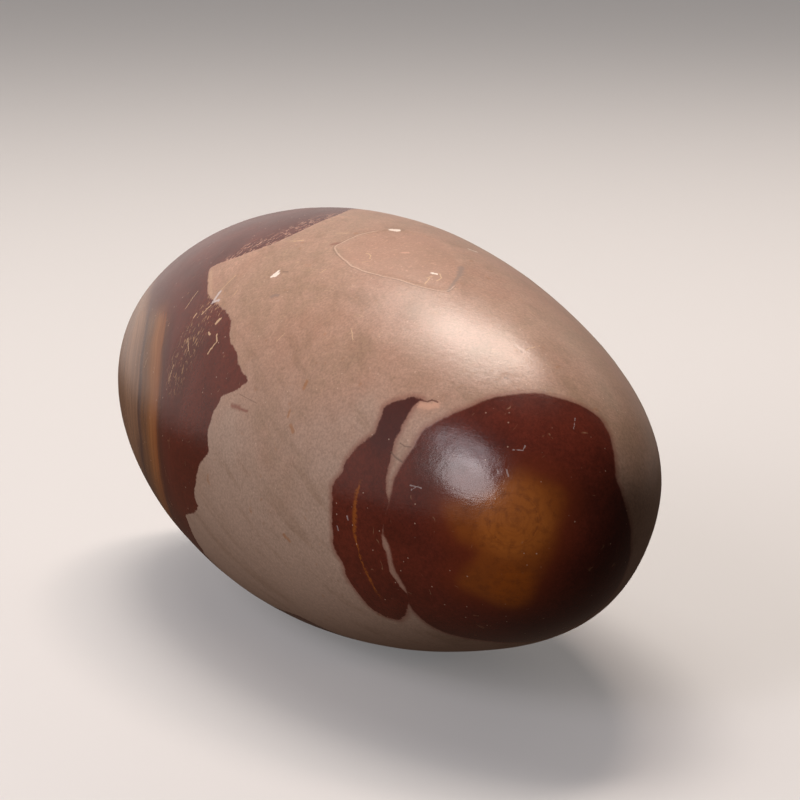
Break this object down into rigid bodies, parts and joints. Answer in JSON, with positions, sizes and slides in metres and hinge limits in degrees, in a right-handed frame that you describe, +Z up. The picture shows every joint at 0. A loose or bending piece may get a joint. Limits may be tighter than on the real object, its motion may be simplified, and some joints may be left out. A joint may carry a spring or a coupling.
{
  "type": "river pebble",
  "caption": "Egg-shaped polished river stone in tan and dark red jasper-like rock, lying on its side as a loose ornament, paperweight or garden stone.",
  "frame": {"origin": "middle of the underside of the stone's bounding box, on the surface that it rests on", "axes": "+X along the long axis, toward the slimmer end with the round red patch; +Z up; +Y to the left when looking along +X"},
  "size_m": [0.196, 0.0896, 0.0891],
  "materials": {
    "stone": "polished"
  },
  "bodies": {
    "root": {"pebble": "stone"}
  },
  "joints": []
}
